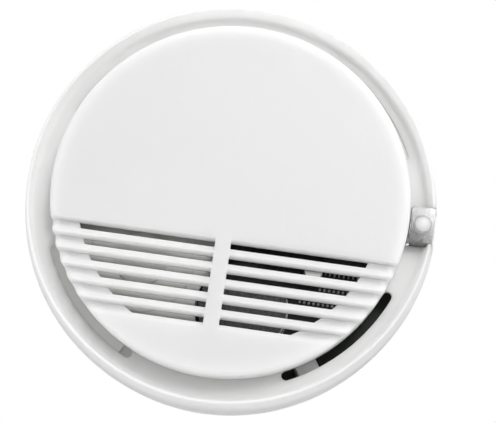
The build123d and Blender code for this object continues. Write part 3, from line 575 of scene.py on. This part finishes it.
def ringProfile():
    # The ring's outer points (radius, drop) from the disc rim over the groove and the lip to the
    # rear edge, each with its partner on the inside, and the rows where openings start and end.
    # The first outer point lies on the disc's edge, and the next ones at shares of the way from
    # that edge to the groove floor.
    radius, wall, widest = cover["discRadius"], cover["wall"], cover["widest"]
    floor, under = cover["floorDrop"], cover["floorDrop"] + wall
    face, rimWidth = cover["discWall"], widest - cover["lipOuter"]
    pairs = [((radius, None), (radius - wall, face))]
    pairs += [((radius, share), (radius - wall, face + share * (under - face)))
              for share in ringShape["wallShares"]]
    pairs.append(((radius, floor), (radius, under)))
    ventFirst = len(pairs) - 1
    half = cover["ventWidth"] / 2
    for share in ringShape["ventShares"]:
        place = radius + half + share * half
        pairs.append(((place, floor), (place, under)))
    ventLast = len(pairs) - 1
    slope = rimWidth / (cover["widestDrop"] - cover["lipDrop"])
    corner = cover["lipOuter"] + slope * (under - cover["lipDrop"]) - wall
    outer = lipPoints()
    start = radius + cover["ventWidth"]
    for point, share in zip(outer, np.linspace(0, 1, len(outer))):
        pairs.append((point, (start + share * (corner - start), under)))
    for drop in (*ringShape["bellyDrops"], cover["notchDrop"]):
        # A shallow outward belly between the lip and the widest circle.
        share = (drop - cover["lipDrop"]) / (cover["widestDrop"] - cover["lipDrop"])
        belly = math.sin(share * math.pi / 2) ** ringShape["bellyPower"]
        place = cover["lipOuter"] + rimWidth * belly
        inside = max(drop, under + ringShape["underSlope"] * share)
        pairs.append(((place, drop), (place - wall, inside)))
    notchLast = len(pairs) - 1
    for drop in (*ringShape["skirtDrops"], cover["depth"]):
        share = (drop - cover["widestDrop"]) / (cover["depth"] - cover["widestDrop"])
        place = widest - (widest - cover["rearRadius"]) * share ** ringShape["skirtPower"]
        pairs.append(((place, drop), (place - wall, drop)))
    return pairs, ventFirst, ventLast, notchLast


def ringColumns(lines):
    # Angle and height of the ring's columns, up the right side and down the left along the
    # disc's lines, and which of them lie on the right.
    base = np.arcsin(np.clip(lines / cover["discRadius"], -1, 1))
    angle = np.concatenate((base, math.pi - base[-2:0:-1]))
    height = np.concatenate((lines, lines[-2:0:-1]))
    return angle, height, np.arange(len(angle)) < len(base)


def isNotchEdge(place):
    # True for the point at which the button's notch starts.
    return abs(place - cover["notchInner"]) < 0.02


def roundVentEnds(turn, place):
    # Moves the columns beyond each end of a vent away from it by the half-circle's reach at this
    # radius, and less and less to none at the end of the span.
    half, span = cover["ventWidth"] / 2, cover["ventEndSpan"]
    offset = np.clip((place - cover["discRadius"] - half) / half, -1, 1)
    bulge = math.sqrt(1 - offset ** 2) * half / place
    for quadrant in range(4):
        mirrored = quadrant % 2 == 1
        for end, way in zip(ventEnds(), (-1, 1)):
            centre = quadrant * math.pi / 2 + (math.pi / 2 - end if mirrored else end)
            heading = -way if mirrored else way
            gap = np.mod((turn - centre) * heading + math.pi, 2 * math.pi) - math.pi
            moved = centre + heading * (bulge + gap * (span - bulge) / span)
            turn = np.where((gap > -1e-7) & (gap < span), moved, turn)
    return turn


def ringGrid(pairs, lines, rimDrop, side, ventFirst, ventLast):
    # The outer (side 0) or inner (side 1) point of each pair swept round the columns. Beside
    # the button the columns run straight outwards, and the disc's wall follows its scalloped
    # edge, less and less downwards.
    angle, height, onRight = ringColumns(lines)
    drop = np.concatenate((rimDrop[:, 1], rimDrop[-2:0:-1, 0]))
    notchReach, notchFade = cover["notchZone"]
    near = onRight * (1 - smooth((np.abs(height) - notchReach) / notchFade))
    layers = []
    for number, pair in enumerate(pairs):
        place, fall = pair[side]
        spread = np.full(len(angle), place)
        if side == 0 and number < ventFirst:
            fade = (1 - (fall or 0.0)) ** cover["scallopFade"]
            spread = place - cover["scallop"] * waveShare(height) * fade
        if number > ventFirst and isNotchEdge(place):
            corner = np.minimum(np.abs(height), cover["notchHalf"])
            spread = place + near * (np.hypot(place, corner) - place)
        turn = angle
        if number >= ventFirst:
            straight = np.arcsin(np.clip(height / spread, -1, 1))
            turn = (1 - near) * angle + near * np.where(onRight, straight, angle)
        if ventFirst <= number <= ventLast:
            turn = roundVentEnds(turn, place)
        if fall is None:
            z = -drop
        elif side == 0 and fall < 1:
            z = -(drop + fall * (cover["floorDrop"] - drop))
        else:
            z = np.full(len(angle), -fall)
        layers.append(np.stack((spread * np.cos(turn), spread * np.sin(turn), z), 1))
    return np.array(layers)


def ringMask(lines, pairs, ventFirst, ventLast, notchLast):
    # True where the ring has plastic: the vents and the button's notch are left out.
    angle = ringColumns(lines)[0]
    following = np.roll(angle, -1)
    following = np.where(following < angle - 3, following + 2 * math.pi, following)
    middle = (angle + following) / 2
    keep = np.ones((len(pairs) - 1, len(angle)), bool)
    start, end = ventEnds()
    folded = np.abs(np.arcsin(np.clip(np.sin(middle), -1, 1)))
    keep[ventFirst:ventLast, (folded > start) & (folded < end)] = False
    notchFirst = min(n for n, pair in enumerate(pairs) if n > ventFirst and isNotchEdge(pair[0][0]))
    reach = math.asin(cover["notchHalf"] / cover["discRadius"])
    inNotch = (np.abs(middle) < reach) | (np.abs(middle - 2 * math.pi) < reach)
    keep[notchFirst:notchLast, inNotch] = False
    return keep


def makeFrontCover():
    # Disc and ring are one closed shell, welded along the disc's rim.
    lines, top, under, discKeep, rimDrop = discGrids()
    rows, columns = top.shape[:2]
    discPoints = np.concatenate((top.reshape(-1, 3), under.reshape(-1, 3)))
    discFaces = shellFaces(rows, columns, discKeep, 0, (False, False), False)
    pairs, ventFirst, ventLast, notchLast = ringProfile()
    sides = [ringGrid(pairs, lines, rimDrop, side, ventFirst, ventLast) for side in (0, 1)]
    ringKeep = ringMask(lines, pairs, ventFirst, ventLast, notchLast)
    ringPoints = np.concatenate([side.reshape(-1, 3) for side in sides])
    ringFaces = shellFaces(len(pairs), sides[0].shape[1], ringKeep, len(discPoints),
                           (False, True), True)
    points = np.concatenate((discPoints, ringPoints)) * mm + np.array((0, 0, faceHeight))
    faces = np.vstack((discFaces, ringFaces))
    piece = buildMesh("coverShell", points, faces, finishes["whiteCover"])
    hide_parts("front_cover")
    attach(piece, "alarm")
    print("front cover made,", len(piece.data.polygons), "faces")


lens = {
    "radius": 2.5,
    "rise": 1.35,
    "sunk": 0.3,
    "below": 1.1,
    "power": 3,
    "rings": 20,
    "segments": 72,
}


def makeButtonLens():
    # The frosted dome over the lamp: height is the rise times the root of 1 minus the cube of
    # the share of the radius.
    lampLow, lampHigh = (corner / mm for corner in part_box("status_lamp"))
    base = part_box("test_button")[1].z / mm - lens["below"]
    share = np.sin(np.linspace(0, math.pi / 2, lens["rings"]))
    dome = base + lens["rise"] * np.sqrt(1 - share ** lens["power"])
    reach = np.concatenate((lens["radius"] * share, (lens["radius"], 0)))
    height = np.concatenate((dome, (base - lens["sunk"], base - lens["sunk"])))
    points = turnedPoints(reach, height, lens["segments"])
    points += ((lampLow.x + lampHigh.x) / 2, 0, 0)
    faces = tubeFaces(len(reach), lens["segments"], False)
    piece = buildMesh("buttonLens", points * mm, faces, finishes["frostedLens"])
    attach(piece, "button")


plateColumns = 24


def makePlate(name, lines, left, right, top, thickness, material):
    # A flat plate between a left and a right edge, each given as one x per y-line. The first and
    # the last column lie double, with no cells between, so the shell closes along both edges.
    share = np.concatenate(([0.0], np.linspace(0, 1, plateColumns + 1), [1.0]))
    x = left[:, None] + (right - left)[:, None] * share
    y = np.repeat(lines[:, None], len(share), 1)
    layers = [np.stack((x, y, np.full_like(x, z)), 2).reshape(-1, 3)
              for z in (top, top - thickness)]
    keep = np.ones((len(lines) - 1, len(share) - 1), bool)
    keep[:, (0, -1)] = False
    faces = shellFaces(len(lines), len(share), keep, 0, (True, True), False)
    piece = buildMesh(name, np.concatenate(layers) * mm, faces, material)
    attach(piece, "alarm")


deck = {
    "top": 26.3,
    "thickness": 1.2,
    "radius": 44.9,
    "right": -2.3,
    "rows": (-43.5, -8.0, 72),
    "gap": 0.6,
    "narrowest": 1,
}


def makeHornDeck():
    # The white deck round the horn: it ends at the cover's wall, behind the grille's middle bar,
    # and round the chamber.
    lidLow, lidHigh = (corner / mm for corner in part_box("chamber_cover"))
    middle, reach = (lidLow + lidHigh) / 2, (lidHigh.x - lidLow.x) / 2 + deck["gap"]
    lines = np.linspace(*deck["rows"])
    left = -halfChord(deck["radius"], lines)
    right = np.minimum(deck["right"], middle.x - halfChord(reach, lines - middle.y))
    right = np.where(lines < middle.y - reach, deck["right"], right)
    right = np.maximum(right, left + deck["narrowest"])
    makePlate("hornDeck", lines, left, right, deck["top"], deck["thickness"],
              finishes["hornWhite"])


shelf = {
    "spans": ((202, 242, 24.1), (241, 247, 23.0), (22, 66, 24.1), (114, 158, 24.1)),
    "inner": 47.42,
    "width": 2.46,
    "bottom": 20.5,
    "steps": 48,
}


def makeVentShelves():
    # A raised white rib stands close under each of three vents, lower at one vent's end: a
    # rectangular section swept round.
    inner, bottom, steps = shelf["inner"], shelf["bottom"], shelf["steps"]
    outer = inner + shelf["width"]
    faces = tubeFaces(steps, 4, True)
    for number, (start, end, top) in enumerate(shelf["spans"], 1):
        angle = np.radians(np.linspace(start, end, steps))
        away, height = (np.tile(section, (steps, 1)) for section in
                        ((inner, outer, outer, inner), (bottom, bottom, top, top)))
        points = sweptPoints(angle, away, height)
        piece = buildMesh("ventShelf%d" % number, points * mm, faces, finishes["hornWhite"])
        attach(piece, "alarm")


chamberLid = {
    "topRow": -24.2,
    "inset": 0.3,
    "thickness": 0.15,
    "lines": 40,
    "lowestTurn": 0.02,
    "rim": (20, -48, 60),
    "rimWidth": 0.5,
    "rimRise": 0.1,
    "rimPower": 0.25,
    "rimSides": 12,
}


def makeChamberLid():
    # The lid's lower part gets a speckled grey panel. The speckle is the lid's mesh, and the grey
    # is painted light where light falls on the black lid through the slots.
    # A light bead runs along its right-hand edge; its round section thins to a point at both ends,
    # and it is a painted highlight on the lid's rim.
    lidLow, lidHigh = (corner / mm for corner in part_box("chamber_cover"))
    middle, reach = (lidLow + lidHigh) / 2, (lidHigh.x - lidLow.x) / 2 - chamberLid["inset"]
    highest = math.asin((chamberLid["topRow"] - middle.y) / reach)
    lowest = chamberLid["lowestTurn"] - math.pi / 2
    lines = middle.y + reach * np.sin(np.linspace(lowest, highest, chamberLid["lines"]))
    half = halfChord(reach, lines - middle.y)
    makePlate("chamberPaintedPanel", lines, middle.x - half, middle.x + half,
              lidHigh.z + chamberLid["thickness"], chamberLid["thickness"],
              finishes["paintedLightGrey"])
    # The light bead along the lid's right-hand edge is a painted highlight.
    angle = np.radians(np.linspace(*chamberLid["rim"]))
    along = np.sin(np.linspace(0, math.pi, len(angle)))
    thick = chamberLid["rimWidth"] / 2 * along ** chamberLid["rimPower"]
    turn = np.linspace(0, 2 * math.pi, chamberLid["rimSides"], endpoint=False)
    away = reach + np.outer(thick, np.cos(turn))
    height = lidHigh.z + chamberLid["rimRise"] + np.outer(thick, np.sin(turn))
    points = sweptPoints(angle, away, height, (middle.x, middle.y))
    faces = tubeFaces(len(angle), len(turn), False)
    piece = buildMesh("chamberPaintedHighlight", points * mm, faces, finishes["spacer"])
    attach(piece, "alarm")


leaf = {"thickness": 0.25, "bend": 0.5, "bendSteps": 8, "foot": 3.0, "keep": 0.68}


def makeSpringLeaf():
    # The bent strip under the test button: a flat foot, a quarter turn up, a riser, a quarter turn
    # back and a long arm. The pressed button pushes it towards the board.
    leafLow, leafHigh = (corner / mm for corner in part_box("test_contact"))
    half, bend = leaf["thickness"] / 2, leaf["bend"]
    riser = leafLow.y + leaf["foot"] - half
    bottom, top = leafLow.z + half, leafHigh.z - half
    turn = np.linspace(0, math.pi / 2, leaf["bendSteps"])
    heading = np.concatenate(([0.0], turn, math.pi / 2 - turn, [0.0]))
    y = np.concatenate(([leafLow.y], riser - bend + bend * np.sin(turn),
                        riser + bend - bend * np.cos(turn), [leafHigh.y]))
    z = np.concatenate(([bottom], bottom + bend - bend * np.cos(turn),
                        top - bend + bend * np.sin(turn), [top]))
    section = ((leafLow.x, -half), (leafHigh.x, -half), (leafHigh.x, half), (leafLow.x, half))
    corners = [np.stack((np.full_like(y, x), y - offset * np.sin(heading),
                         z + offset * np.cos(heading)), 1) for x, offset in section]
    points = np.stack(corners, 1).reshape(-1, 3)
    faces = tubeFaces(len(y), len(section), True)
    piece = buildMesh("springLeaf", points * mm, faces, finishes["spring"])
    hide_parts("test_contact")
    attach(piece, "alarm")
    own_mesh(piece)


solder = {
    "rows": ((22.0, -22.6, 8), (27.0, -18.5, 10)),
    "pitch": 1.27,
    "radius": 0.4,
    "height": 0.5,
    "rings": 6,
    "segments": 12,
}


def makeSolderJoints():
    # Rows of solder joints on the board, each a low dome with a flat base.
    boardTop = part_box("circuit_board")[1].z / mm
    centres = np.array([(x + n * solder["pitch"], y, boardTop)
                        for x, y, count in solder["rows"] for n in range(count)])
    tilt = np.linspace(0, math.pi / 2, solder["rings"])
    reach = np.concatenate((solder["radius"] * np.sin(tilt), [0.0]))
    height = np.concatenate((solder["height"] * np.cos(tilt), [0.0]))
    dome = turnedPoints(reach, height, solder["segments"])
    domeFaces = tubeFaces(len(reach), solder["segments"], False)
    points = (dome[None] + centres[:, None]).reshape(-1, 3)
    first = np.arange(len(centres)) * len(dome)
    faces = (domeFaces[None] + first[:, None, None]).reshape(-1, 4)
    piece = buildMesh("solderJoints", points * mm, faces, finishes["solder"])
    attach(piece, "alarm")


makeFrontCover()
makeButtonLens()
makeHornDeck()
makeVentShelves()
makeChamberLid()
makeSpringLeaf()
makeSolderJoints()
print("inner pieces made")


# Metres. A lamp is given as its place, its width and its power.
studio = {
    "floorSize": 8.0,
    "floorDrop": 0.6,
    "floorTone": 0.9,
    "floorRoughness": 0.9,
    "key": ((0.19, 0.36, 0.95), 0.25, 4.1),
    "side": ((0.31, 0.59, 0.78), 0.25, 1.7),
    "horizon": 1.05,
    "zenith": 0.48,
    "fade": (0.35, 0.65),
}


def whiteBackdrop():
    # The floor stays pale, and is white to the camera, to reflections and through clear plastic.
    material, tree, shader = newMaterial("paleFloor")
    shader.inputs["Base Color"].default_value = (*[studio["floorTone"]] * 3, 1.0)
    shader.inputs["Roughness"].default_value = studio["floorRoughness"]
    glow = tree.nodes.new("ShaderNodeEmission")
    glow.inputs["Color"].default_value = (1, 1, 1, 1)
    path = tree.nodes.new("ShaderNodeLightPath")
    mix = tree.nodes.new("ShaderNodeMixShader")
    seen = path.outputs["Is Camera Ray"]
    for ray in ("Is Glossy Ray", "Is Transmission Ray"):
        seen = mathNode(tree, "MAXIMUM", seen, path.outputs[ray])
    tree.links.new(seen, mix.inputs["Fac"])
    tree.links.new(shader.outputs["BSDF"], mix.inputs[1])
    tree.links.new(glow.outputs["Emission"], mix.inputs[2])
    tree.links.new(mix.outputs["Shader"], tree.nodes["Material Output"].inputs["Surface"])
    return material


def makeFloor():
    half, z = studio["floorSize"] / 2, cadBox[0][2] - studio["floorDrop"]
    corners = [(-half, -half, z), (half, -half, z), (half, half, z), (-half, half, z)]
    mesh = bpy.data.meshes.new("floor")
    mesh.from_pydata(corners, [], [(0, 1, 2, 3)])
    mesh.materials.append(whiteBackdrop())
    floor = bpy.data.objects.new("floor", mesh)
    bpy.context.scene.collection.objects.link(floor)


def makeLamp(name, place, size, power):
    # A round lamp aimed at the middle of the disc.
    data = bpy.data.lights.new(name, "AREA")
    data.shape = "DISK"
    data.size = size
    data.energy = power
    lamp = bpy.data.objects.new(name, data)
    lamp.location = place
    aim = Vector((0, 0, faceHeight)) - lamp.location
    lamp.rotation_euler = aim.to_track_quat("-Z", "Y").to_euler()
    bpy.context.scene.collection.objects.link(lamp)


def makeWorld():
    # A white tent, brighter near the horizon than overhead, and plain white to the camera.
    world = bpy.data.worlds.new("studio")
    bpy.context.scene.world = world
    world.use_nodes = True
    tree = world.node_tree
    background = tree.nodes["Background"]
    background.inputs["Color"].default_value = (1, 1, 1, 1)
    place = tree.nodes.new("ShaderNodeTexCoord")
    split = tree.nodes.new("ShaderNodeSeparateXYZ")
    fade = tree.nodes.new("ShaderNodeMapRange")
    fade.interpolation_type = "SMOOTHSTEP"
    fade.inputs["From Min"].default_value, fade.inputs["From Max"].default_value = studio["fade"]
    fade.inputs["To Min"].default_value = studio["horizon"]
    fade.inputs["To Max"].default_value = studio["zenith"]
    tree.links.new(place.outputs["Generated"], split.inputs["Vector"])
    tree.links.new(split.outputs["Z"], fade.inputs["Value"])
    path = tree.nodes.new("ShaderNodeLightPath")
    strength = mathNode(tree, "MAXIMUM", fade.outputs["Result"], path.outputs["Is Camera Ray"])
    tree.links.new(strength, background.inputs["Strength"])


view = {
    "tilt": -13.53,
    "yaw": -2.05,
    "roll": -8.38,
    "slide": (-0.004622, 0.004557, -0.330),
    "lens": 91.46,
    "sensor": 36,
}


def makeCamera():
    # The alarm turned by yaw, then tilt, then roll, and slid in front of the lens.
    turn = (
        Matrix.Rotation(math.radians(view["roll"]), 3, "Z")
        @ Matrix.Rotation(math.radians(view["tilt"]), 3, "X")
        @ Matrix.Rotation(math.radians(view["yaw"]), 3, "Y")
    )
    place = -(turn.transposed() @ Vector(view["slide"])) + Vector((0, 0, faceHeight))
    data = bpy.data.cameras.new("camera")
    data.lens = view["lens"]
    data.sensor_width = view["sensor"]
    camera = bpy.data.objects.new("camera", data)
    camera.matrix_world = Matrix.Translation(place) @ turn.transposed().to_4x4()
    bpy.context.scene.collection.objects.link(camera)
    bpy.context.scene.camera = camera


makeFloor()
makeLamp("keyLight", *studio["key"])
makeLamp("sideLight", *studio["side"])
makeWorld()
makeCamera()
bpy.context.scene.view_settings.view_transform = "Standard"
print("stage set")
